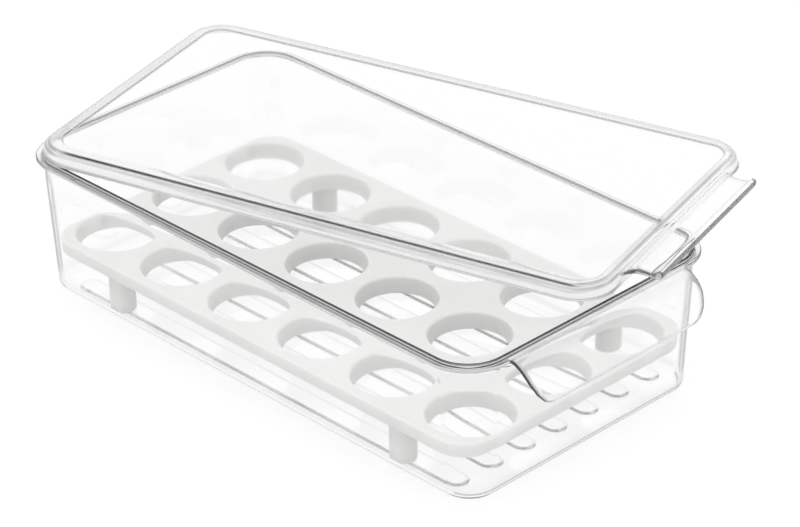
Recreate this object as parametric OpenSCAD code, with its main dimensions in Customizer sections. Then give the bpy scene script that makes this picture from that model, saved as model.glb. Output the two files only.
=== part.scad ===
// Lidded keeper: a clear bin, a white tray of cups that stands in it, and a clear loose lid.
// The origin is the centre of the bin's underside. +X runs to the end with the pull handle,
// +Y runs across the bin and +Z is up. Sizes are in millimetres.

/* [Cups] */
// Cups along the bin
cup_columns = 6; // [2:1:8]
// Cups across the bin
cup_rows = 3; // [2:1:4]
// Distance between cup centres along the bin
column_pitch = 50; // [47.5:0.5:58]
// Distance between cup centres across the bin
row_pitch = 50; // [47.5:0.5:58]
// Diameter of a cup at its top
cup_top_d = 43; // [36:0.5:45]
// Diameter of a cup at its throat, below the flared edge
cup_throat_d = 41; // [30:0.5:42]
// Diameter of a cup at its open bottom
cup_bottom_d = 38; // [26:0.5:40]
// Depth of a cup's flared edge
cup_flare_h = 1.4; // [0.6:0.1:1.8]
// Height of a cup, from the tray's top to its open bottom
cup_depth = 9; // [5:0.5:14]
// Wall of a cup
cup_wall = 1.3; // [1:0.1:1.5]

/* [Tray] */
// Height of the tray's top face above the surface that the bin stands on
tray_top_z = 29.4; // [24:0.2:36]
// Thickness of the tray's top
tray_plate = 2; // [1.2:0.1:3]
// Height of the tray's skirt, its top included
skirt_h = 7.4; // [4:0.2:10]
// Thickness of the tray's skirt
skirt_wall = 1.8; // [1.2:0.1:2.4]
// Strip of tray beyond the last cups at the two ends
end_web = 0.6; // [0.5:0.1:6]
// Strip of tray beyond the last cups at the two sides
side_web = 4.9; // [2:0.1:8]
// Radius of the tray's corners in plan
tray_corner_r = 15.5; // [15:0.5:26]
// Rounding of the tray's upper edge
tray_edge_r = 0.5; // [0.2:0.05:0.5]
// Diameter of a tray leg
leg_d = 13.2; // [10:0.2:13.6]
// Depth of the flat along a leg's outer side, where it passes the bin's wall
leg_flat = 1.2; // [0.5:0.1:2.5]
// Gap between a leg's foot and the bin's wall or the rounding at its foot
leg_gap = 0.5; // [0.3:0.1:1.5]

/* [Bin] */
// Height of the bin
bin_h = 75.4; // [60:0.2:110]
// Thickness of the bin's walls
wall = 1.8; // [1.4:0.1:2.6]
// Thickness of the bin's floor
floor_t = 1.6; // [1.4:0.1:3]
// Lean of the bin's walls from upright, in degrees
draft_angle = 3.5; // [2:0.1:5]
// Gap between the tray and the bin's side walls
tray_side_gap = 0.8; // [0.3:0.1:1.5]
// Gap between the tray and the bin's end walls
tray_end_gap = 3.8; // [0.5:0.1:5]
// Radius of the bin's upright corners at the rim
rim_corner_r = 21; // [19:0.5:24]
// Rounding of the bin's lower edge
base_edge_r = 4; // [2:0.1:4.5]
// Width of the flange outside the rim's bead
flange_w = 3.3; // [2.9:0.1:5]
// Thickness of the flange
flange_t = 2; // [1.2:0.1:2.4]
// Height of the rim's bead above the flange
bead_h = 0.8; // [0.5:0.1:2]

/* [Floor ribs] */
// Distance between the ribs along the floor of the bin
rib_pitch = 21.5; // [14:0.5:30]
// Width of a rib
rib_w = 11.5; // [5:0.5:12]
// Height of a rib
rib_h = 0.8; // [0.4:0.1:1]
// Distance from the ribs' round ends to the wall at the handle's end
rib_front_gap = 13.5; // [6:0.5:20]
// Distance from the ribs' round ends to the wall at the plain end
rib_back_gap = 13.5; // [6:0.5:24]

/* [Pull handle] */
// Width of the pull handle at the rim
handle_w = 117; // [70:1:117]
// Reach of the handle beyond the flange
handle_reach = 16.5; // [12:0.5:24]
// Drop of the handle's lower edge below the flange's top
handle_drop = 20; // [14:0.5:26]
// Thickness of the handle
handle_t = 2; // [1.6:0.1:2.6]
// Rounding of the handle's two lower corners
handle_corner_r = 13; // [5:0.5:13.5]

/* [Lid] */
// Height of the lid
lid_h = 7.6; // [6.6:0.1:12]
// Thickness of the lid's skirt and top
lid_wall = 1.8; // [1.4:0.1:2]
// Gap between the lid's skirt and the rim's bead, with the lid square on the bin
lid_gap = 1.1; // [0.4:0.1:1.4]
// How far the lid's skirt flares outward at its foot
lid_flare = 1.6; // [0.6:0.1:2]
// Width of the sloping shoulder above the lid's skirt
shoulder_w = 2.8; // [1.5:0.1:4]
// Height of the sloping shoulder
shoulder_h = 2; // [1:0.1:2.2]
// Width of the raised band round the lid's top
band_w = 5.7; // [3.5:0.1:9]
// Width of the raised band at the lid's lip
band_lip_w = 2.7; // [2:0.1:5]
// Height of the raised band above the lid's top
band_h = 0.7; // [0.4:0.1:1]
// Radius of the lid's lower corners in plan
lid_corner_r = 20; // [17:0.1:24]

/* [Lid lip] */
// Width of the lip at its outer edge
lip_w = 104; // [60:1:104]
// Reach of the lip beyond the lid's skirt
lip_reach = 17.1; // [14:0.1:24]
// Depth of the lip's upper face below the lid's top
lip_dip = 2.3; // [1.5:0.1:3]
// Thickness of the lip
lip_t = 1.9; // [1.4:0.1:2.4]
// Diameter of the round bead along the lip's edge
lip_bead_d = 4.4; // [3:0.1:5]
// Radius of the hollow corners where the lip leaves the lid
lip_root_r = 8; // [3:0.5:8]

/* [Lid position] */
// Turn of the lid from square on the bin, in degrees
lid_turn = 16; // [0:0.5:24]
// Distance of the lid's turning point from the outside of the rim's plain end
turn_point_from_end = 13; // [10:0.5:60]
// Distance of the lid's turning point from the outside of the rim's side
turn_point_from_side = 35.5; // [20:0.5:60]
// Space left under the lid and under the tray where they lie on the bin
rest_gap = 0.1; // [0.05:0.05:0.3]

/* [Hidden] */

corner_fn = 96;
round_fn = 64;
// How far a cutting shape runs past the face that it cuts
over = 1;

// The tray, worked out from its grid of cups
tray_l = (cup_columns - 1) * column_pitch + cup_top_d + 2 * end_web;
tray_w = (cup_rows - 1) * row_pitch + cup_top_d + 2 * side_web;
foot_z = floor_t + rib_h + rest_gap;

// The bin, worked out from the tray: its walls clear the tray's upper edge
draft = tan(draft_angle);
base_l = tray_l + 2 * (tray_end_gap + wall - draft * tray_top_z);
base_w = tray_w + 2 * (tray_side_gap + wall - draft * tray_top_z);
rim_l = base_l + 2 * draft * bin_h;
rim_w = base_w + 2 * draft * bin_h;
base_corner_r = rim_corner_r - draft * bin_h;
flange_top_z = bin_h - bead_h;
ribs_each_side = floor((base_w / 2 - wall - base_edge_r - rib_w / 2) / rib_pitch);
leg_x = (cup_columns / 2 - 1) * column_pitch;
inner_edge_r = base_edge_r - wall / 2;
inner_edge_z = floor_t + inner_edge_r;
leg_flat_y = base_w / 2 - wall + draft * max(floor_t, foot_z - inner_edge_r) - inner_edge_r
    + sqrt(inner_edge_r ^ 2 - max(0, inner_edge_z - foot_z) ^ 2) - leg_gap;
leg_y = leg_flat_y + leg_flat - leg_d / 2;

// The lid, worked out from the rim
lid_l = rim_l + 2 * (lid_gap + lid_wall);
lid_w = rim_w + 2 * (lid_gap + lid_wall);
band_inset = lid_flare + shoulder_w;
turn_x = turn_point_from_end - rim_l / 2;
turn_y = turn_point_from_side - rim_w / 2;

// Sweeps a section round a rectangle with round corners of radius r, and fills the middle.
// The section's x starts at a corner's centre and its y is the height.
module swept(l, w, r) {
    for (turn = [0, 180])
        rotate([0, 0, turn]) {
            translate([l / 2 - r, 0, 0])
                rotate([90, 0, 0])
                    linear_extrude(height = w - 2 * r, center = true)
                        children();
            translate([0, w / 2 - r, 0])
                rotate([90, 0, 90])
                    linear_extrude(height = l - 2 * r, center = true)
                        children();
            for (sx = [-1, 1])
                translate([sx * (l / 2 - r), w / 2 - r, 0])
                    rotate([0, 0, sx < 0 ? 90 : 0])
                        rotate_extrude(angle = 90, $fn = corner_fn)
                            children();
        }
}

// Flat plate that fills the middle of a swept shape, between z0 and z1
module middle(l, w, r, z0, z1) {
    translate([r - l / 2, r - w / 2, z0])
        cube([l - 2 * r, w - 2 * r, z1 - z0]);
}

// Rectangle with round corners, on the origin
module outline(l, w, r) {
    square([l - 2 * r, w], center = true);
    square([l, w - 2 * r], center = true);
    for (sx = [-1, 1], sy = [-1, 1])
        translate([sx * (l / 2 - r), sy * (w / 2 - r)])
            circle(r = r, $fn = corner_fn);
}

// Points of an arc of radius r about c, between the angles a0 and a1
function arc(c, r, a0, a1, steps = 4) =
    [for (i = [0:steps]) c + r * [cos(a0 + (a1 - a0) * i / steps), sin(a0 + (a1 - a0) * i / steps)]];

// Point of a smooth bend from a to d, pulled towards b and c
function bend(a, b, c, d, t) =
    pow(1 - t, 3) * a + 3 * pow(1 - t, 2) * t * b + 3 * (1 - t) * t * t * c + t * t * t * d;

// Step of length t square to a path at point i, to the right of the way that it runs
function side_step(path, i, t) =
    let (
        a = path[max(i - 1, 0)],
        b = path[min(i + 1, len(path) - 1)],
        d = (b - a) / norm(b - a)
    )
    t * [d[1], -d[0]];

// Section of the bin's floor edge, leaning wall, flange and bead
module bin_section() {
    polygon(concat(
        [[0, 0]],
        arc([base_corner_r - base_edge_r, base_edge_r], base_edge_r, -90, 0),
        [
            [base_corner_r + draft * (flange_top_z - flange_t), flange_top_z - flange_t],
            [rim_corner_r + flange_w, flange_top_z - flange_t],
            [rim_corner_r + flange_w, flange_top_z],
            [rim_corner_r, flange_top_z],
            [rim_corner_r, bin_h],
            [rim_corner_r - wall, bin_h]
        ],
        arc([base_corner_r - wall + draft * floor_t - inner_edge_r, inner_edge_z], inner_edge_r, 0, -90),
        [[0, floor_t]]
    ));
}

// Raised ribs with round ends along the bin's floor
module floor_ribs() {
    rib_l = base_l - 2 * wall - rib_front_gap - rib_back_gap;
    for (i = [-ribs_each_side:ribs_each_side])
        translate([(rib_back_gap - rib_front_gap) / 2, i * rib_pitch, floor_t / 2]) {
            translate([0, 0, (rib_h + floor_t / 2) / 2])
                cube([rib_l - rib_w, rib_w, rib_h + floor_t / 2], center = true);
            for (s = [-1, 1])
                translate([s * (rib_l - rib_w) / 2, 0, 0])
                    cylinder(d = rib_w, h = rib_h + floor_t / 2, $fn = round_fn);
        }
}

// Plate that bends out from the flange and down, with round lower corners
module pull_handle() {
    width = min(handle_w, rim_w - 1.9 * rim_corner_r);
    root_x = rim_l / 2 + flange_w;
    tip_x = root_x + handle_reach;
    low_z = flange_top_z - handle_drop;
    path = [for (i = [0:12]) bend(
        [root_x, flange_top_z],
        [root_x + 0.44 * handle_reach, flange_top_z],
        [tip_x - 0.08 * handle_reach, low_z + 0.52 * handle_drop],
        [tip_x, low_z],
        i / 12
    )];
    last = len(path) - 1;
    intersection() {
        rotate([90, 0, 0])
            linear_extrude(height = width, center = true)
                polygon(concat(
                    [[root_x - flange_w / 2, flange_top_z]],
                    path,
                    [for (i = [last:-1:0]) path[i]
                        + (i == last ? [-handle_t, 0] : side_step(path, i, handle_t))],
                    [[root_x - flange_w / 2, flange_top_z - handle_t]]
                ));
        rotate([90, 0, 90])
            linear_extrude(height = tip_x + over)
                union() {
                    translate([-width / 2, low_z + handle_corner_r])
                        square([width, handle_drop]);
                    translate([handle_corner_r - width / 2, low_z - over])
                        square([width - 2 * handle_corner_r, handle_corner_r + 2 * over]);
                    for (s = [-1, 1])
                        translate([s * (width / 2 - handle_corner_r), low_z + handle_corner_r])
                            circle(r = handle_corner_r, $fn = corner_fn);
                }
    }
}

// Clear open bin that the tray stands in
module bin() {
    color([0.93, 0.95, 0.96, 0.35]) {
        swept(rim_l, rim_w, rim_corner_r)
            bin_section();
        middle(rim_l, rim_w, rim_corner_r, 0, floor_t);
        floor_ribs();
        pull_handle();
    }
}

// Section of the tray's top edge and skirt, which leans with the bin's walls
module tray_section() {
    polygon(concat(
        [
            [0, tray_top_z - tray_plate],
            [tray_corner_r - skirt_wall - draft * tray_plate, tray_top_z - tray_plate],
            [tray_corner_r - skirt_wall - draft * skirt_h, tray_top_z - skirt_h],
            [tray_corner_r - draft * skirt_h, tray_top_z - skirt_h]
        ],
        arc([tray_corner_r - tray_edge_r, tray_top_z - tray_edge_r], tray_edge_r, 0, 90),
        [[0, tray_top_z]]
    ));
}

// Puts a shape at every cup's centre
module at_cups() {
    for (i = [0:cup_columns - 1], j = [0:cup_rows - 1])
        translate([(i - (cup_columns - 1) / 2) * column_pitch, (j - (cup_rows - 1) / 2) * row_pitch, 0])
            children();
}

// White tray: a flat top with open cups, a short skirt and four legs
module cup_tray() {
    throat_z = tray_top_z - cup_flare_h;
    bottom_z = tray_top_z - cup_depth;
    color([0.95, 0.95, 0.94])
        difference() {
            union() {
                swept(tray_l, tray_w, tray_corner_r)
                    tray_section();
                middle(tray_l, tray_w, tray_corner_r, tray_top_z - tray_plate, tray_top_z);
                at_cups()
                    translate([0, 0, bottom_z])
                        cylinder(
                            h = cup_depth - cup_flare_h,
                            d1 = cup_bottom_d + 2 * cup_wall,
                            d2 = cup_throat_d + 2 * cup_wall,
                            $fn = round_fn
                        );
                intersection() {
                    for (sx = [-1, 1], sy = [-1, 1])
                        translate([sx * leg_x, sy * leg_y, foot_z])
                            cylinder(d = leg_d, h = tray_top_z - tray_plate / 2 - foot_z, $fn = round_fn);
                    translate([-tray_l / 2, -leg_flat_y, 0])
                        cube([tray_l, 2 * leg_flat_y, tray_top_z]);
                }
            }
            at_cups()
                rotate_extrude($fn = round_fn)
                    polygon([
                        [0, bottom_z - over],
                        [cup_bottom_d / 2, bottom_z - over],
                        [cup_bottom_d / 2, bottom_z],
                        [cup_throat_d / 2, throat_z],
                        [cup_top_d / 2, tray_top_z],
                        [cup_top_d / 2, tray_top_z + over],
                        [0, tray_top_z + over]
                    ]);
        }
}

// Section of the lid's top, sloping shoulder and flared skirt
module lid_section() {
    under_z = lid_h - band_h - lid_wall;
    shoulder_z = lid_h - shoulder_h;
    polygon([
        [0, under_z],
        [lid_corner_r - lid_wall - lid_flare * under_z / shoulder_z, under_z],
        [lid_corner_r - lid_wall, 0],
        [lid_corner_r, 0],
        [lid_corner_r - lid_flare, shoulder_z],
        [lid_corner_r - band_inset, lid_h],
        [0, lid_h]
    ]);
}

// Lip that the lid is lifted by: a thin shelf with a round bead along its edge
module lid_lip() {
    width = min(lip_w, lid_w - 2 * (lid_corner_r + lip_root_r));
    root_x = lid_l / 2 - lid_flare;
    tip_x = lid_l / 2 + lip_reach;
    shelf_x = root_x - lid_wall / 2;
    translate([0, 0, lid_h - lip_dip - lip_t])
        linear_extrude(height = lip_t)
            difference() {
                union() {
                    translate([shelf_x, -width / 2])
                        square([tip_x - lip_bead_d / 2 - shelf_x, width]);
                    translate([shelf_x, -width / 2 - lip_root_r])
                        square([root_x + lip_root_r - shelf_x, width + 2 * lip_root_r]);
                }
                for (s = [-1, 1])
                    translate([root_x + lip_root_r, s * (width / 2 + lip_root_r)])
                        circle(r = lip_root_r, $fn = round_fn);
            }
    translate([tip_x - lip_bead_d / 2, width / 2, lid_h - lip_bead_d / 2])
        rotate([90, 0, 0])
            cylinder(d = lip_bead_d, h = width, $fn = round_fn);
}

// Clear loose lid, turned a little on the rim
module lid() {
    color([0.93, 0.95, 0.96, 0.35])
        translate([turn_x, turn_y, bin_h + rest_gap])
            rotate([0, 0, lid_turn])
                translate([-turn_x, -turn_y, 0]) {
                    difference() {
                        union() {
                            swept(lid_l, lid_w, lid_corner_r)
                                lid_section();
                            middle(lid_l, lid_w, lid_corner_r, lid_h - band_h - lid_wall, lid_h);
                        }
                        translate([(band_w - band_lip_w) / 2, 0, lid_h - band_h])
                            linear_extrude(height = band_h + over)
                                outline(
                                    lid_l - 2 * band_inset - band_w - band_lip_w,
                                    lid_w - 2 * band_inset - 2 * band_w,
                                    lid_corner_r - band_inset - band_w
                                );
                    }
                    lid_lip();
                }
}

bin();
cup_tray();
lid();
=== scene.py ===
import math

import bmesh
import bpy
import numpy as np
from mathutils import Matrix, Vector


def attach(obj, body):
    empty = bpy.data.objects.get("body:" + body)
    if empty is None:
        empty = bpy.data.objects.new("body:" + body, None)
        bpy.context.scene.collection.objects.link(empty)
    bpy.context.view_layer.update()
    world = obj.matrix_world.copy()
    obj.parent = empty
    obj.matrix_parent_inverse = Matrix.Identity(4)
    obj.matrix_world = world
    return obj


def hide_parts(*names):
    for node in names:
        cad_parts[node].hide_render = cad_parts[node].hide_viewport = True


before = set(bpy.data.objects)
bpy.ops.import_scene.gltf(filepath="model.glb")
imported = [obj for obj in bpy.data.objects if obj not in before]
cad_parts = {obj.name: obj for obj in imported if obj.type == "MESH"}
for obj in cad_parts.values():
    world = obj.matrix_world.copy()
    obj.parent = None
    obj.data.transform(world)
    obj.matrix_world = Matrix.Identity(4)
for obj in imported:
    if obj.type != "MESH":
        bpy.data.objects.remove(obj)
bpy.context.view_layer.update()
scene = bpy.context.scene


# Studio
# A sweep of matt white paper under a large soft lamp, and a camera with a long lens, as for a
# catalogue picture. The camera's place was solved from the bin's straight edges in the photograph.
camera_at, lens, sensor = (1.10894, -1.03545, 0.89448), 160.1, 36.0
camera_turn_deg, camera_down_deg, camera_roll_deg = 46.242, 29.455, -1.206
camera_data = bpy.data.cameras.new("camera")
camera_data.lens, camera_data.sensor_width = lens, sensor
camera_data.clip_start, camera_data.clip_end = 0.05, 50.0
camera = bpy.data.objects.new("camera", camera_data)
scene.collection.objects.link(camera)
camera.matrix_world = (
    Matrix.Translation(camera_at)
    @ Matrix.Rotation(math.radians(camera_turn_deg), 4, "Z")
    @ Matrix.Rotation(math.radians(90 - camera_down_deg), 4, "X")
    @ Matrix.Rotation(math.radians(camera_roll_deg), 4, "Z")
)
scene.camera = camera
scene.view_settings.view_transform = "Standard"
# Light runs a long way inside clear edges, so its paths may be long
scene.cycles.max_bounces, scene.cycles.transmission_bounces = 24, 24
scene.cycles.glossy_bounces, scene.cycles.transparent_max_bounces = 16, 32


def srgb(code):
    """A colour written as sRGB hex, as linear red, green, blue and alpha."""
    parts = [int(code[i : i + 2], 16) / 255 for i in (0, 2, 4)]
    return (*[c / 12.92 if c <= 0.04045 else ((c + 0.055) / 1.055) ** 2.4 for c in parts], 1.0)


def add(tree, kind, settings=None, **inputs):
    """Adds a node with its settings, and its inputs as values or links, by name or as i and number."""
    node = tree.nodes.new(kind)
    for name, value in (settings or {}).items():
        setattr(node, name, value)
    for name, value in inputs.items():
        numbered = name[0] == "i" and name[1:].isdigit()
        socket = node.inputs[int(name[1:]) if numbered else name.replace("_", " ")]
        if isinstance(value, bpy.types.NodeSocket):
            tree.links.new(value, socket)
        else:
            socket.default_value = value
    return node


def empty_tree(owner):
    """The node tree of a world or a material, with nothing in it."""
    owner.use_nodes = True
    owner.node_tree.nodes.clear()
    return owner.node_tree


def by_ray(tree, lit, bent, seen):
    """One shader for light that falls on things, one for rays that the plastic bends or mirrors,
    and one for what the camera sees straight."""
    path = add(tree, "ShaderNodeLightPath").outputs
    is_bent = add(
        tree,
        "ShaderNodeMath",
        {"operation": "MAXIMUM"},
        i0=path["Is Glossy Ray"],
        i1=path["Is Transmission Ray"],
    )
    other = add(tree, "ShaderNodeMixShader", Fac=is_bent.outputs[0], i1=lit.outputs[0], i2=bent.outputs[0])
    camera_ray = path["Is Camera Ray"]
    return add(tree, "ShaderNodeMixShader", Fac=camera_ray, i1=other.outputs[0], i2=seen.outputs[0])


def lamp(name, place, size, power):
    """A square area lamp of a real size, turned to the middle of the object."""
    data = bpy.data.lights.new(name, "AREA")
    data.shape, data.size, data.energy = "SQUARE", size, power
    obj = bpy.data.objects.new(name, data)
    obj.location = place
    aim = Vector((0, 0, 0.03)) - Vector(place)
    obj.rotation_euler = aim.to_track_quat("-Z", "Y").to_euler()
    scene.collection.objects.link(obj)


lamp("overhead_softbox", (-0.35, 0.25, 1.5), 1.1, 2.6)
lamp("side_softbox", (-1.1, -0.9, 0.9), 0.7, 1.2)

# The room is white round the horizon, as the sweep's back is, and darker overhead. The plastic's
# rims get their grey lines from that change
white, overhead = (1.0, 1.0, 1.0, 1.0), (0.26, 0.26, 0.26, 1.0)
white_up_to, dark_from, room_light = 0.62, 0.80, 0.93
scene.world = bpy.data.worlds.new("studio")
tree = empty_tree(scene.world)
direction = add(tree, "ShaderNodeTexCoord").outputs["Generated"]
height = add(tree, "ShaderNodeSeparateXYZ", Vector=direction).outputs["Z"]
ramp = add(tree, "ShaderNodeValToRGB", Fac=height)
for stop, place, colour in zip(ramp.color_ramp.elements, (white_up_to, dark_from), (white, overhead)):
    stop.position, stop.color = place, colour
room = by_ray(
    tree,
    lit=add(tree, "ShaderNodeBackground", Color=white, Strength=room_light),
    bent=add(tree, "ShaderNodeBackground", Color=ramp.outputs["Color"], Strength=1.0),
    seen=add(tree, "ShaderNodeBackground", Color=white, Strength=1.0),
)
add(tree, "ShaderNodeOutputWorld", Surface=room.outputs[0])

# The paper shows white round the object and keeps a faint shadow
paper_half, paper_z, paper_glow = 12, -0.0004, 0.73
paper_white, paper_shaded = (0.88, 0.88, 0.88, 1.0), (0.3, 0.3, 0.3, 1.0)
paper = bpy.data.materials.new("matt_paper_sweep")
tree = empty_tree(paper)
shaded = add(tree, "ShaderNodeBsdfDiffuse", Color=paper_shaded)
glow = add(tree, "ShaderNodeEmission", Color=white, Strength=paper_glow)
surface = by_ray(
    tree,
    lit=add(tree, "ShaderNodeBsdfDiffuse", Color=paper_white),
    bent=add(tree, "ShaderNodeEmission", Color=white, Strength=1.0),
    seen=add(tree, "ShaderNodeAddShader", i0=shaded.outputs[0], i1=glow.outputs[0]),
)
add(tree, "ShaderNodeOutputMaterial", Surface=surface.outputs[0])
floor_mesh = bpy.data.meshes.new("floor")
floor_corners = [(x * paper_half, y * paper_half, 0) for x, y in ((-1, -1), (1, -1), (1, 1), (-1, 1))]
floor_mesh.from_pydata(floor_corners, [], [(0, 1, 2, 3)])
floor_mesh.materials.append(paper)
floor = bpy.data.objects.new("floor", floor_mesh)
floor.location.z = paper_z
scene.collection.objects.link(floor)


# Bin
# The bin is injection moulded in one piece of clear polystyrene, with walls that lean out for
# the mould. A flange runs round its rim below a thin bead, and bends out into a pull handle.
wall_mm, floor_mm = 1.8, 1.6
base_mm, rim_mm = (301.8, 154.4), (311.0, 163.6)
base_corner_mm, rim_corner_mm, base_edge_mm = 15.0, 21.0, 4.0
bin_height_mm, bead_height_mm, bead_round_mm, bead_foot_mm = 75.4, 0.8, 0.45, 0.3
flange_mm, flange_thick_mm, flange_round_mm, neck_mm = 3.3, 2.0, 0.8, 0.8
rib_pitch_mm, rib_width_mm, rib_height_mm, ribs = 21.5, 11.2, 0.8, 7
rib_from_mm, rib_to_mm, rib_foot_mm = -135.5, 135.5, 0.3
handle_reach_mm, handle_drop_mm, handle_thick_mm = 16.5, 20.0, 2.0
handle_half_mm, handle_rooted_mm, handle_round_mm = 58.7, 2.2, 0.8
# Half of the handle's width at heights above its lower edge, whose two corners are round
handle_sides_mm = ((0, 46.5), (0.6, 49.4), (2, 52.2), (6.2, 55.6), (12, 58.0), (16, 58.5))
# Rows of points up the wall's outside, and down its inside, keep its faces nearly square
outer_rows_mm, inner_rows_mm = (12, 24, 36, 48, 60), (73.6, 68, 56, 42, 30, 18, 9)


def arc(first, last, step):
    """The cosine and the sine of each angle from the first to the last, in degrees."""
    angles = range(first, last + (1 if step > 0 else -1), step)
    return [(math.cos(math.radians(a)), math.sin(math.radians(a))) for a in angles]


def ring(size, corner, z, centre=0.0, steps=20, per_side=6):
    """Points in metres round a rectangle with round corners, anticlockwise from above."""
    corner = max(corner, 0.05)
    reach_x, reach_y = size[0] / 2 - corner, size[1] / 2 - corner
    bends = []
    for quarter, (side_x, side_y) in enumerate(((1, 1), (-1, 1), (-1, -1), (1, -1))):
        angles = [math.radians(90 * quarter + 90 * i / steps) for i in range(steps + 1)]
        mid_x, mid_y = centre + side_x * reach_x, side_y * reach_y
        bends.append([(mid_x + corner * math.cos(a), mid_y + corner * math.sin(a)) for a in angles])
    points = []
    for bend, following in zip(bends, bends[1:] + bends[:1]):
        (x, y), (to_x, to_y) = bend[-1], following[0]
        points += bend
        for i in range(1, per_side):
            points.append((x + (to_x - x) * i / per_side, y + (to_y - y) * i / per_side))
    return [Vector((x, y, z)) / 1000 for x, y in points]


def new_object(name, bm):
    """An object in the scene from a bmesh, which is then freed."""
    mesh = bpy.data.meshes.new(name)
    bm.to_mesh(mesh)
    bm.free()
    obj = bpy.data.objects.new(name, mesh)
    scene.collection.objects.link(obj)
    return obj


def skinned(name, rings):
    """A closed mesh through rings of points: its two flat ends stay flat and the rest is smooth."""
    bm = bmesh.new()
    rows = [[bm.verts.new(p) for p in r] for r in rings]
    count = len(rows[0])
    for low, high in zip(rows, rows[1:]):
        for i in range(count):
            j = (i + 1) % count
            bm.faces.new((low[i], low[j], high[j], high[i])).smooth = True
    bm.faces.new(rows[0])
    bm.faces.new(rows[-1])
    bmesh.ops.recalc_face_normals(bm, faces=bm.faces)
    return new_object(name, bm)


def applied(obj):
    """Turns an object with its modifiers into a plain mesh."""
    bpy.context.view_layer.update()
    mesh = bpy.data.meshes.new_from_object(obj.evaluated_get(bpy.context.evaluated_depsgraph_get()))
    obj.modifiers.clear()
    obj.data = mesh
    return obj


def joined(obj, other):
    """Adds another closed mesh, which is then gone, so that no face is left inside the wall."""
    change = obj.modifiers.new("joined", "BOOLEAN")
    change.object, change.operation, change.solver = other, "UNION", "EXACT"
    applied(obj)
    bpy.data.objects.remove(other, do_unlink=True)


def bin_outline(z):
    """The bin's outer size and corner radius at a height. Both grow from base to rim."""
    share = z / bin_height_mm
    size = [b + (r - b) * share for b, r in zip(base_mm, rim_mm)]
    return size, base_corner_mm + (rim_corner_mm - base_corner_mm) * share


def drawn_in(size, corner, z, inset):
    """A ring that lies inside a rectangle with round corners by a distance."""
    return ring([s - 2 * inset for s in size], corner - inset, z)


def bin_ring(z, inset=0.0):
    """The bin's outline at a height, drawn in by a distance."""
    return drawn_in(*bin_outline(z), z, inset)


# The rings run up the outside, round the flange and the bead, and down the inside to the floor
ledge_z = bin_height_mm - bead_height_mm
flange_low = ledge_z - flange_thick_mm
neck_z = flange_low - neck_mm
fillet_mm = base_edge_mm - wall_mm / 2
rings = [
    bin_ring(base_edge_mm - base_edge_mm * c, base_edge_mm - base_edge_mm * s)
    for c, s in arc(0, 90, 10)
]
rings += [bin_ring(z) for z in (*outer_rows_mm, neck_z)]
rings += [bin_ring(neck_z + neck_mm * s, neck_mm * c - neck_mm) for c, s in arc(0, 90, 30)]
for c, s in arc(-90, 90, 18):
    z = (ledge_z - flange_round_mm if s > 0 else flange_low + flange_round_mm) + flange_round_mm * s
    rings.append(drawn_in(rim_mm, rim_corner_mm, z, flange_round_mm - flange_round_mm * c - flange_mm))
for c, s in arc(0, 90, 30):
    foot = bead_foot_mm - bead_foot_mm * s
    rings.append(drawn_in(rim_mm, rim_corner_mm, ledge_z + bead_foot_mm - bead_foot_mm * c, -foot))
for c, s in arc(0, 180, 20):
    inset = (bead_round_mm if c > 0 else wall_mm - bead_round_mm) - bead_round_mm * c
    rings.append(drawn_in(rim_mm, rim_corner_mm, bin_height_mm - bead_round_mm + bead_round_mm * s, inset))
rings += [bin_ring(z, wall_mm) for z in inner_rows_mm]
for c, s in arc(0, 90, 10):
    rings.append(bin_ring(floor_mm + fillet_mm - fillet_mm * s, wall_mm + fillet_mm - fillet_mm * c))
bin_shell = skinned("bin", rings)

# The pull handle bends out of the flange and down, along a curve with four control points
root_x = rim_mm[0] / 2 + flange_mm
tip_x, low_z = root_x + handle_reach_mm, ledge_z - handle_drop_mm
pull_points = [
    np.array(p)
    for p in (
        (root_x, ledge_z),
        (root_x + 0.44 * handle_reach_mm, ledge_z),
        (tip_x - 0.08 * handle_reach_mm, low_z + 0.52 * handle_drop_mm),
        (tip_x, low_z),
    )
]


def handle_point(t):
    """A point of the handle's outer face, in the plane across the bin's end."""
    a, b, c, d = pull_points
    return (1 - t) ** 3 * a + 3 * (1 - t) ** 2 * t * b + 3 * (1 - t) * t * t * c + t**3 * d


def handle_half(z):
    """Half of the handle's width at a height."""
    up, half = zip(*handle_sides_mm, (handle_drop_mm + 1, handle_half_mm))
    return float(np.interp(z - low_z, up, half))


def plate(name, rows, thick, rounding):
    """A thin plate of even thickness through rows of points, with its rims rounded."""
    bm = bmesh.new()
    grid = [[bm.verts.new(p) for p in row] for row in rows]
    for a, b in zip(grid, grid[1:]):
        for i in range(len(a) - 1):
            bm.faces.new((a[i], a[i + 1], b[i + 1], b[i])).smooth = True
    obj = new_object(name, bm)
    wall = obj.modifiers.new("wall", "SOLIDIFY")
    wall.thickness, wall.offset, wall.use_even_offset = thick / 1000, 1.0, True
    soft = obj.modifiers.new("soft_rims", "BEVEL")
    soft.width, soft.segments = rounding / 1000, 4
    soft.limit_method, soft.angle_limit = "ANGLE", math.radians(50)
    applied(obj)
    bm = bmesh.new()
    bm.from_mesh(obj.data)
    bmesh.ops.recalc_face_normals(bm, faces=bm.faces)
    for face in bm.faces:
        face.smooth = True
    bm.to_mesh(obj.data)
    bm.free()
    return obj


path_points = [(root_x - handle_rooted_mm, ledge_z, handle_half_mm)]
path_points += [(x, z, handle_half(z)) for x, z in map(handle_point, np.linspace(0, 1, 33))]
rows = [[Vector((x, y, z)) / 1000 for y in np.linspace(-half, half, 41)] for x, z, half in path_points]
joined(bin_shell, plate("handle", rows, handle_thick_mm, handle_round_mm))

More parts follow.
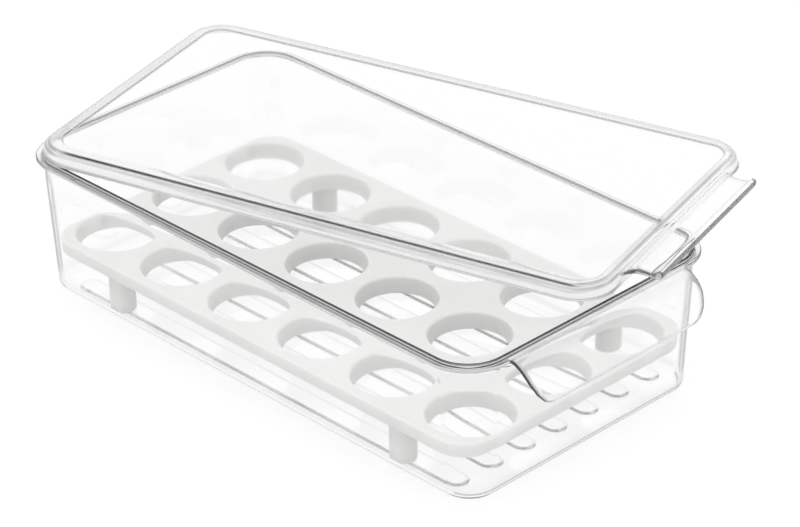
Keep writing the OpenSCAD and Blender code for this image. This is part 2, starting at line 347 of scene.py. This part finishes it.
# The ribs are low strips with round ends, set side by side along the floor. Their sides run out
# into it in a soft slope, given as distances in from the foot and shares of the height
rib_length_mm, rib_middle_mm = rib_to_mm - rib_from_mm, (rib_from_mm + rib_to_mm) / 2
rib_foot = (
    (rib_length_mm + 2 * rib_foot_mm, rib_width_mm + 2 * rib_foot_mm),
    rib_width_mm / 2 + rib_foot_mm,
)
rib_sunk_mm = 0.9
rib_slope = (
    (0.0, 0.0625),
    (0.25, 0.1625),
    (0.6, 0.425),
    (1.0, 0.6875),
    (1.4, 0.875),
    (1.8, 0.975),
    (2.2, 1.0),
    (2.9, 1.0),
)
rib_rings = [drawn_in(*rib_foot, floor_mm - rib_sunk_mm, 0.0)]
rib_rings += [drawn_in(*rib_foot, floor_mm + rib_height_mm * share, inset) for inset, share in rib_slope]
rib = skinned("rib", rib_rings)


def tree_of(name, *sockets):
    """A Geometry Nodes tree with named inputs, and its input and output nodes."""
    group = bpy.data.node_groups.new(name, "GeometryNodeTree")
    group.interface.new_socket("Geometry", in_out="INPUT", socket_type="NodeSocketGeometry")
    group.interface.new_socket("Geometry", in_out="OUTPUT", socket_type="NodeSocketGeometry")
    for label, kind in sockets:
        group.interface.new_socket(label, in_out="INPUT", socket_type="NodeSocket" + kind)
    return group, group.nodes.new("NodeGroupInput"), group.nodes.new("NodeGroupOutput")


def worked(obj, group, **values):
    """Runs a Geometry Nodes tree on an object, with its inputs set, and keeps the plain result."""
    made = obj.modifiers.new(group.name, "NODES")
    made.node_group = group
    for item in group.interface.items_tree:
        name = item.name.lower().replace(" ", "_")
        if item.in_out == "INPUT" and name in values:
            made[item.identifier] = values[name]
    applied(obj)


group, given, result = tree_of(
    "floor_ribs",
    ("Rib", "Object"),
    ("Count", "Int"),
    ("Pitch", "Vector"),
    ("First", "Vector"),
    ("Material", "Material"),
)
line = add(
    group,
    "GeometryNodeMeshLine",
    Count=given.outputs["Count"],
    Start_Location=given.outputs["First"],
    Offset=given.outputs["Pitch"],
)
shape = add(group, "GeometryNodeObjectInfo", Object=given.outputs["Rib"])
placed = add(
    group,
    "GeometryNodeInstanceOnPoints",
    Points=line.outputs["Mesh"],
    Instance=shape.outputs["Geometry"],
)
real = add(group, "GeometryNodeRealizeInstances", Geometry=placed.outputs["Instances"])
fused = add(group, "GeometryNodeMeshBoolean", {"operation": "UNION", "solver": "EXACT"})
for part in (given, real):
    group.links.new(part.outputs["Geometry"], fused.inputs["Mesh 2"])
finish = add(
    group,
    "GeometryNodeSetMaterial",
    Geometry=fused.outputs["Mesh"],
    Material=given.outputs["Material"],
)
group.links.new(finish.outputs["Geometry"], result.inputs["Geometry"])


def inset_of(x, y, size, corner, centre=0.0):
    """How far a point in millimetres lies inside a rectangle with round corners."""
    out_x, out_y = abs(x - centre) - size[0] / 2 + corner, abs(y) - size[1] / 2 + corner
    return corner - math.hypot(max(out_x, 0.0), max(out_y, 0.0)) - min(max(out_x, out_y), 0.0)


def edged(obj, rule):
    """Marks each point of a moulding: how much painted shade it gets, how matt it is, and how much
    painted shade its outline gets where the eye meets it at a slant. A rule may leave the last one out, as
    none."""
    names = ("edge_grey", "edge_matt", "outline")
    marks = [obj.data.attributes.new(name, "FLOAT", "POINT") for name in names]
    for vert in obj.data.vertices:
        for mark, value in zip(marks, rule(*(vert.co * 1000))):
            mark.data[vert.index].value = value


# Typical values for moulded polystyrene. The grey is painted shade, laid into the colour of rims and bends
# where bent light draws dark lines
clear_hex, painted_shade_hex, polystyrene_ior = "FFFFFF", "38383B", 1.57
polished, satin = 0.03, 0.3
# The mould leaves slow waves some 36 mm long in the walls, and a haze in patches of about 6 mm
wave_mm, wave_depth_mm, haze_mm = 35.7, 0.4, 6.25
# Walls seen at a slant get painted shade, up to this share of the grey, where their points are marked for
# it
slant_from, slant_full, slant_painted_shade = 0.5, 0.78, 0.9


def clear_plastic(name):
    """Clear moulded polystyrene: high index, polished walls and a faint waviness from the mould.
    Grey is painted into its colour at rims, bends and ribs, as painted shade for the dark lines
    that bent light draws there, and where a wall is seen at a slant. Lamps shine through it,
    because a thin wall throws hardly any shadow."""
    mat = bpy.data.materials.new(name)
    tree = empty_tree(mat)
    place = add(tree, "ShaderNodeTexCoord").outputs["Object"]
    flow = add(tree, "ShaderNodeTexNoise", Vector=place, Scale=1000 / wave_mm, Detail=2.0, Roughness=0.5)
    waves = add(
        tree,
        "ShaderNodeBump",
        Height=flow.outputs["Fac"],
        Strength=0.06,
        Distance=wave_depth_mm / 1000,
    )
    haze = add(tree, "ShaderNodeTexNoise", Vector=place, Scale=1000 / haze_mm, Detail=3.0, Roughness=0.6)
    polish = add(
        tree,
        "ShaderNodeMapRange",
        Value=haze.outputs["Fac"],
        To_Min=polished * 0.6,
        To_Max=polished * 1.6,
    )
    grey, matt, slant_shade_share = [
        add(tree, "ShaderNodeAttribute", {"attribute_name": mark}).outputs["Fac"]
        for mark in ("edge_grey", "edge_matt", "outline")
    ]
    smooth = polish.outputs["Result"]
    rough = add(tree, "ShaderNodeMix", {"data_type": "FLOAT"}, Factor=matt, A=smooth, B=satin)
    # Painted shade on walls seen at a slant, where the points are marked for it
    slanted = add(
        tree,
        "ShaderNodeMapRange",
        {"interpolation_type": "SMOOTHSTEP"},
        Value=add(tree, "ShaderNodeLayerWeight", Blend=0.5).outputs["Facing"],
        From_Min=slant_from,
        From_Max=slant_full,
        To_Min=0.0,
        To_Max=slant_painted_shade,
    )
    slant = slanted.outputs["Result"]
    outline = add(tree, "ShaderNodeMath", {"operation": "MULTIPLY"}, i0=slant, i1=slant_shade_share)
    painted_shade_share = add(tree, "ShaderNodeMath", {"operation": "MAXIMUM"}, i0=grey, i1=outline.outputs[0])
    # The colour runs from clear towards grey with the painted shade
    colour = add(
        tree,
        "ShaderNodeMix",
        {"data_type": "RGBA"},
        i0=painted_shade_share.outputs[0],
        i6=srgb(clear_hex),
        i7=srgb(painted_shade_hex),
    )
    body = add(
        tree,
        "ShaderNodeBsdfPrincipled",
        Base_Color=colour.outputs["Result"],
        Roughness=rough.outputs["Result"],
        IOR=polystyrene_ior,
        Transmission_Weight=1.0,
        Normal=waves.outputs["Normal"],
    )
    thin = add(tree, "ShaderNodeBsdfTransparent", Color=(0.96, 0.96, 0.96, 1))
    path = add(tree, "ShaderNodeLightPath").outputs
    light = add(
        tree,
        "ShaderNodeMath",
        {"operation": "MAXIMUM"},
        i0=path["Is Shadow Ray"],
        i1=path["Is Diffuse Ray"],
    )
    both = add(tree, "ShaderNodeMixShader", Fac=light.outputs[0], i1=body.outputs[0], i2=thin.outputs[0])
    add(tree, "ShaderNodeOutputMaterial", Surface=both.outputs[0])
    return mat


clear_bin = clear_plastic("clear_moulded_polystyrene")
bin_shell.data.materials.append(clear_bin)
worked(
    bin_shell,
    group,
    rib=rib,
    count=ribs,
    pitch=(0, rib_pitch_mm / 1000, 0),
    first=(rib_middle_mm / 1000, -(ribs - 1) / 2 * rib_pitch_mm / 1000, 0),
    material=clear_bin,
)
bpy.data.objects.remove(rib, do_unlink=True)


def bin_painted_shade_and_matt(x, y, z):
    """Painted shade and mattness on the bin: its rim, the flange's edge, the handle's sides, the foot and
    the ribs.
    """
    size, corner = bin_outline(z)
    inset = inset_of(x, y, size, corner)
    # Each rule gives painted shade, then mattness, and at the foot and corners painted shade for the
    # outline at a slant
    if inset < -flange_mm - 0.2:
        at_side, at_tip = abs(y) > handle_half(z) - 1.3, z < low_z + 1.5
        return (0.5, 0.3) if at_side else (0.1, 0.3) if at_tip else (0.0, 0.0)
    if z > ledge_z + 0.05:
        return (1.0 if z > bin_height_mm - 0.25 else 0.7), 0.4
    if inset < -0.5:
        return (0.45, 0.4) if inset < -flange_mm + 0.6 else (0.1, 0.1)
    if z < base_edge_mm and inset < 0.5 + 0.5 * (base_edge_mm - z):
        # The foot at the handle end gets stronger painted shade than the long sides, because the light
        # leaves that end darker
        at_handle_end = x > base_mm[0] / 2 - 12
        grey = 0.7 if z < 2.1 else 0.1
        return (grey, 0.2, 1.0) if at_handle_end else (0.0, 0.2, 0.6)
    if inset > wall_mm + fillet_mm and z > floor_mm + 0.02:
        # Painted shade along the ribs' sloping sides
        from_rib = y - rib_pitch_mm * round(y / rib_pitch_mm)
        up_slope = inset_of(x, from_rib, *rib_foot, rib_middle_mm)
        return float(np.interp(up_slope, (0.0, 0.3, 0.7, 1.7, 2.2), (0.0, 0.1, 0.2, 0.2, 0.0))), 0.3
    if z < floor_mm + fillet_mm and inset < wall_mm + fillet_mm:
        return (0.08, 0.4) if z > floor_mm + 1.2 else (0.0, 0.2)
    on_corner = min(abs(x) - size[0] / 2, abs(y) - size[1] / 2) > -base_corner_mm
    return 0.0, 0.0, (1.0 if on_corner else 0.0)


edged(bin_shell, bin_painted_shade_and_matt)
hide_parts("bin")
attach(bin_shell, "bin")


# Cup tray
# The tray is one moulding of white polypropylene with a soft gloss: a flat top with open cups,
# a short skirt all round, and four legs that stand it on the ribs of the bin's floor.
tray_mm, tray_top_mm, tray_corner_mm, tray_round_mm = (294.2, 152.8), 29.4, 15.5, 0.9
plate_mm, skirt_mm, skirt_wall_mm, skirt_draft, hem_mm = 2.0, 7.4, 1.8, 0.0612, 0.4
cup_pitch_mm, cup_columns, cup_rows = 50.0, 6, 3
cup_throat_mm, cup_bottom_mm, cup_depth_mm, cup_wall_mm, cup_lip_mm = 41.0, 38.0, 9.0, 1.3, 1.5
leg_mm, leg_foot_mm, leg_at_mm, leg_flat_mm = 13.2, 2.5, (100.0, 68.68), 74.08

# The rings run down the outside of the skirt, round its lower edge and up to the plate
below_round = tray_top_mm - tray_round_mm
rings = [
    drawn_in(tray_mm, tray_corner_mm, below_round + tray_round_mm * s, tray_round_mm - tray_round_mm * c)
    for c, s in arc(90, 0, -15)
]
for up, inset in (
    (hem_mm, 0.0),
    (0.1, 0.15),
    (0.0, hem_mm),
    (0.0, skirt_wall_mm - hem_mm),
    (0.1, skirt_wall_mm - 0.15),
    (hem_mm, skirt_wall_mm),
    (skirt_mm - plate_mm, skirt_wall_mm),
):
    z = tray_top_mm - skirt_mm + up
    rings.append(drawn_in(tray_mm, tray_corner_mm, z, inset + skirt_draft * (below_round - z)))
tray = skinned("cup_tray", rings)


def turned(name, profile, steps=64, flat=1e3):
    """A closed solid turned from (radius, height) pairs, and cut flat at a distance along y."""
    around = [2 * math.pi * i / steps for i in range(steps)]
    turns = [(math.cos(a), math.sin(a)) for a in around]
    rings = [[Vector((r * c, min(r * s, flat), z)) / 1000 for c, s in turns] for r, z in profile]
    return skinned(name, rings)


# A cup is a short tapered sleeve under the plate, and its mouth flares into the plate's top
cup_low = tray_top_mm - cup_depth_mm
inner_r, throat_r = cup_bottom_mm / 2, cup_throat_mm / 2
outer_r = inner_r + cup_wall_mm
cup_outer = turned("cup_outer", [
    (inner_r + 0.3, cup_low),
    (outer_r - 0.35, cup_low),
    (outer_r - 0.1, cup_low + 0.1),
    (outer_r, cup_low + 0.35),
    (throat_r + cup_wall_mm, below_round),
])
cup_inner = turned("cup_inner", [
    (inner_r + 0.4, cup_low - 1),
    (inner_r + 0.35, cup_low),
    (inner_r + 0.1, cup_low + 0.15),
    (inner_r, cup_low + 0.4),
    *[
        (throat_r + cup_lip_mm - cup_lip_mm * c, tray_top_mm - cup_lip_mm + cup_lip_mm * s)
        for c, s in arc(0, 72, 12)
    ],
    (throat_r + cup_lip_mm + 0.15, tray_top_mm + 0.25),
])
# A leg's outer side is flat, where it passes the rounding at the foot of the bin's wall
leg_r = leg_mm / 2
leg = turned(
    "leg",
    [
        (leg_r - 0.5, leg_foot_mm),
        (leg_r - 0.15, leg_foot_mm + 0.15),
        (leg_r, leg_foot_mm + 0.5),
        (leg_r, below_round),
    ],
    flat=leg_flat_mm - leg_at_mm[1],
)

group, given, result = tree_of(
    "cups_and_legs",
    ("Cup outside", "Object"),
    ("Cup inside", "Object"),
    ("Leg", "Object"),
    ("Columns", "Int"),
    ("Rows", "Int"),
    ("Length", "Float"),
    ("Width", "Float"),
    ("Leg length apart", "Float"),
    ("Leg width apart", "Float"),
    ("Material", "Material"),
)


def spread(points, shape):
    """Puts an object at every point, as real mesh, with its back to the middle of the tray."""
    shape = add(group, "GeometryNodeObjectInfo", Object=given.outputs[shape])
    place = add(group, "GeometryNodeInputPosition").outputs["Position"]
    across = add(group, "ShaderNodeSeparateXYZ", Vector=place).outputs["Y"]
    near = add(group, "ShaderNodeMath", {"operation": "LESS_THAN"}, i0=across, i1=0.0).outputs[0]
    half_turn = add(group, "ShaderNodeMath", {"operation": "MULTIPLY"}, i0=near, i1=math.pi).outputs[0]
    turn = add(group, "ShaderNodeCombineXYZ", Z=half_turn).outputs["Vector"]
    placed = add(
        group,
        "GeometryNodeInstanceOnPoints",
        Points=points,
        Instance=shape.outputs["Geometry"],
        Rotation=add(group, "FunctionNodeEulerToRotation", Euler=turn).outputs["Rotation"],
    )
    real = add(group, "GeometryNodeRealizeInstances", Geometry=placed.outputs["Instances"])
    return real.outputs["Geometry"]


cups = add(
    group,
    "GeometryNodeMeshGrid",
    Size_X=given.outputs["Length"],
    Size_Y=given.outputs["Width"],
    Vertices_X=given.outputs["Columns"],
    Vertices_Y=given.outputs["Rows"],
).outputs["Mesh"]
corners = add(
    group,
    "GeometryNodeMeshGrid",
    Size_X=given.outputs["Leg length apart"],
    Size_Y=given.outputs["Leg width apart"],
    Vertices_X=2,
    Vertices_Y=2,
).outputs["Mesh"]
solid = add(group, "GeometryNodeMeshBoolean", {"operation": "UNION", "solver": "EXACT"})
for part in (given.outputs["Geometry"], spread(cups, "Cup outside"), spread(corners, "Leg")):
    group.links.new(part, solid.inputs["Mesh 2"])
cut = add(group, "GeometryNodeMeshBoolean", {"operation": "DIFFERENCE", "solver": "EXACT"})
group.links.new(solid.outputs["Mesh"], cut.inputs["Mesh 1"])
group.links.new(spread(cups, "Cup inside"), cut.inputs["Mesh 2"])
finish = add(
    group,
    "GeometryNodeSetMaterial",
    Geometry=cut.outputs["Mesh"],
    Material=given.outputs["Material"],
)
group.links.new(finish.outputs["Geometry"], result.inputs["Geometry"])

# White polypropylene: milky, so that light soaks a few millimetres into it, with a satin sheen.
# The melt leaves faint clouds some 55 mm wide. Its mould's grain is drawn coarse, at 1.1 mm
cloud_hex, plain_hex, polypropylene_ior = "EAEAE8", "F0F0EE", 1.49
cloud_mm, grain_mm, grain_depth_mm, light_soaks_mm = 55.5, 1.11, 0.1, 4.0
white_plastic = bpy.data.materials.new("white_moulded_polypropylene")
tree = empty_tree(white_plastic)
place = add(tree, "ShaderNodeTexCoord").outputs["Object"]
cloud = add(tree, "ShaderNodeTexNoise", Vector=place, Scale=1000 / cloud_mm, Detail=3.0, Roughness=0.5)
tone = add(tree, "ShaderNodeValToRGB", Fac=cloud.outputs["Fac"])
for stop, place_on, code in zip(tone.color_ramp.elements, (0.35, 0.65), (cloud_hex, plain_hex)):
    stop.position, stop.color = place_on, srgb(code)
grain = add(tree, "ShaderNodeTexNoise", Vector=place, Scale=1000 / grain_mm, Detail=2.0, Roughness=0.5)
peel = add(
    tree,
    "ShaderNodeBump",
    Height=grain.outputs["Fac"],
    Strength=0.12,
    Distance=grain_depth_mm / 1000,
)
sheen = add(tree, "ShaderNodeMapRange", Value=cloud.outputs["Fac"], To_Min=0.28, To_Max=0.40)
body = add(
    tree,
    "ShaderNodeBsdfPrincipled",
    Base_Color=tone.outputs["Color"],
    Roughness=sheen.outputs["Result"],
    IOR=polypropylene_ior,
    Subsurface_Weight=0.8,
    Subsurface_Radius=(1.0, 1.0, 1.0),
    Subsurface_Scale=light_soaks_mm / 1000,
    Normal=peel.outputs["Normal"],
)
add(tree, "ShaderNodeOutputMaterial", Surface=body.outputs[0])
tray.data.materials.append(white_plastic)

worked(
    tray,
    group,
    cup_outside=cup_outer,
    cup_inside=cup_inner,
    leg=leg,
    columns=cup_columns,
    rows=cup_rows,
    length=(cup_columns - 1) * cup_pitch_mm / 1000,
    width=(cup_rows - 1) * cup_pitch_mm / 1000,
    leg_length_apart=2 * leg_at_mm[0] / 1000,
    leg_width_apart=2 * leg_at_mm[1] / 1000,
    material=white_plastic,
)
for tool in (cup_outer, cup_inner, leg):
    bpy.data.objects.remove(tool, do_unlink=True)
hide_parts("cup_tray")
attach(tray, "cup_tray")


# Lid
# The lid is clear polystyrene like the bin: a flat top inside a raised band, a sloping shoulder
# and a short flared skirt. It lies loose on the rim, turned from square.
lid_mm, lid_corner_mm, lid_height_mm, lid_wall_mm = (316.8, 169.4), 20.0, 7.6, 1.8
flare_mm, shoulder_mm, shoulder_drop_mm = 1.6, 2.8, 2.0
band_mm, band_lip_mm, band_drop_mm, lid_bend_mm = 5.7, 2.7, 0.7, 1.3
lid_rest_mm, lid_turn_deg, turn_at_mm = 75.5, 16.0, (-142.51, -46.31)


def lid_ring(inset, z, centre=0.0, less=0.0):
    """The lid's outline, drawn in by a distance, and by a little less at the lip."""
    return ring((lid_mm[0] - 2 * inset + less, lid_mm[1] - 2 * inset), lid_corner_mm - inset, z, centre)


# The rings run from the flat underside down inside the skirt, round its foot and up over the
# shoulder to the band, and step down to the flat top. By the lip the band is slimmer
band_out = flare_mm + shoulder_mm
band_in = band_out + band_mm
under_z = lid_height_mm - band_drop_mm - lid_wall_mm
shoulder_z = lid_height_mm - shoulder_drop_mm
slim_mm = band_mm - band_lip_mm
lid_profile = [
    (6.0, under_z),
    (4.6, under_z),
    *((4.6 - lid_bend_mm * s, under_z - lid_bend_mm + lid_bend_mm * c) for c, s in arc(15, 90, 15)),
    (lid_wall_mm + 0.1, 0.6),
    *((0.9 + 0.8 * c, 0.6 - 0.6 * s) for c, s in arc(0, 180, 30)),
    (0.5, 2.0),
    (flare_mm - 0.25, shoulder_z - 0.9),
    (flare_mm - 0.05, shoulder_z - 0.35),
    (flare_mm + 0.2, shoulder_z),
    (flare_mm + 0.6, shoulder_z + 0.32),
    (2.9, lid_height_mm - 1.12),
    (band_out - 0.75, lid_height_mm - 0.5),
    (band_out - 0.35, lid_height_mm - 0.24),
    (band_out, lid_height_mm - 0.08),
    (band_out + 0.5, lid_height_mm),
]
step_down = ((-0.5, 0.0), (-0.15, -0.08), (0.1, -0.3), (0.25, -0.5), (0.5, -0.64), (0.9, -band_drop_mm))
rings = [lid_ring(inset, z) for inset, z in lid_profile]
rings += [lid_ring(band_in + inward, lid_height_mm + up, slim_mm / 2, slim_mm) for inward, up in step_down]
lid = skinned("lid", rings)

# The lip is a thin shelf with hollow corners at its root and a round bead along its edge. Each
# row says how far out it is, and how its top and its underside lie to the lid's top
lip_half_mm, lip_root_mm, lip_from_mm = 52.0, 8.0, lid_mm[0] / 2 - flare_mm - 0.9
lip_rows_mm = (
    (lip_from_mm, -2.0, -4.2),
    (158.9, -2.1, -4.2),
    (163.3, -2.2, -4.2),
    (166.5, -2.35, -4.3),
    (169.0, -2.3, -4.4),
    (170.9, -1.7, -4.5),
    (172.2, -0.9, -4.6),
    (173.2, -0.25, -4.65),
    (174.0, 0.0, -4.6),
    (174.7, -0.15, -4.3),
    (175.2, -0.7, -3.6),
    (175.45, -1.6, -2.7),
)
# The lip's two ends are rounded off over the last part of its width
end_from, end_drop_mm, end_back_mm = 0.94, 0.35, 0.3


def lip_half(x):
    """Half of the lip's width at a distance along the lid: it widens into the skirt."""
    out = x - (lid_mm[0] / 2 - flare_mm)
    if out >= lip_root_mm:
        return lip_half_mm
    left = lip_root_mm - max(out, 0.0)
    return lip_half_mm + lip_root_mm - math.sqrt(max(lip_root_mm**2 - left**2, 0.0))


def smooth_path(points, steps=3):
    """More points along a path, on a smooth curve through the ones given."""
    p = [np.array(q, float) for q in points]
    out = []
    for i in range(len(p) - 1):
        a, b, c, d = p[max(i - 1, 0)], p[i], p[i + 1], p[min(i + 2, len(p) - 1)]
        for t in (k / steps for k in range(steps)):
            bent = (2 * a - 5 * b + 4 * c - d) * t * t + (3 * b - a - 3 * c + d) * t**3
            out.append(0.5 * (2 * b + (c - a) * t + bent))
    return out + [p[-1]]


section = smooth_path([(x, top) for x, top, _ in lip_rows_mm])
section += smooth_path([(x, low) for x, _, low in lip_rows_mm])[::-1]
bm = bmesh.new()
grid = []
for across in (-1, -0.985, -end_from, *np.linspace(-0.85, 0.85, 15), end_from, 0.985, 1):
    end = max(0.0, (abs(across) - end_from) / (1 - end_from)) ** 2
    row = []
    for x, z in section:
        back = end_back_mm * end if x > 173 else 0
        drop = -end_drop_mm * end if z > -3 else end_drop_mm * end
        row.append(bm.verts.new(Vector((x - back, across * lip_half(x), lid_height_mm + z + drop)) / 1000))
    grid.append(row)
count = len(section)
for a, b in zip(grid, grid[1:]):
    for i in range(count):
        j = (i + 1) % count
        bm.faces.new((a[i], a[j], b[j], b[i])).smooth = True
for row in (grid[0], grid[-1]):
    for i in range(count // 2 - 1):
        bm.faces.new((row[i], row[i + 1], row[count - 2 - i], row[count - 1 - i])).smooth = False
bmesh.ops.recalc_face_normals(bm, faces=bm.faces)
joined(lid, new_object("lip", bm))


def lid_painted_shade_and_matt(x, y, z):
    """Painted shade and mattness on the lid: the skirt's foot, the shoulder's two bends, the band and the
    lip's bead.
    """
    # Each rule gives painted shade, then mattness
    inset = inset_of(x, y, lid_mm, lid_corner_mm)
    if x > 175.0:
        return 0.9, 0.4
    if x > lid_mm[0] / 2 + 0.3:
        return (0.12, 0.8) if abs(y) > 0.975 * lip_half(x) else (0.0, 0.1)
    by_lip = x > lid_mm[0] / 2 - 9 and abs(y) < lip_half_mm + lip_root_mm
    if abs(z - (lid_height_mm - band_drop_mm)) < 0.02 and inset > band_out + 1.5:
        return 0.0, 0.0
    if z > lid_height_mm - 0.05 and inset > band_out + 0.3:
        return (0.3 if by_lip else 0.06), (0.5 if inset < band_out + 1.8 else 0.15)
    if z > lid_height_mm - band_drop_mm and inset > band_out + 1.5:
        return 0.45, 0.3
    if z > lid_height_mm - 0.6:
        return (0.6 if by_lip else 0.4), 0.5
    if by_lip:
        return 0.0, 0.2
    if z > shoulder_z + 0.5:
        return 0.08, 0.15
    if z > shoulder_z - 0.5 and inset < 2.6:
        return 0.4, 0.3
    if z < 0.65:
        return 0.2, 0.3
    if inset < 4.7:
        return 0.06, (0.9 if z > 3.7 and inset > 3 else 0.1)
    return 0.0, 0.0


edged(lid, lid_painted_shade_and_matt)
turn_at = Vector((*turn_at_mm, 0)) / 1000
lid.data.transform(
    Matrix.Translation(turn_at + Vector((0, 0, lid_rest_mm / 1000)))
    @ Matrix.Rotation(math.radians(lid_turn_deg), 4, "Z")
    @ Matrix.Translation(-turn_at)
)
lid.data.materials.clear()
lid.data.materials.append(clear_plastic("clear_lid_polystyrene"))
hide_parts("lid")
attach(lid, "lid")
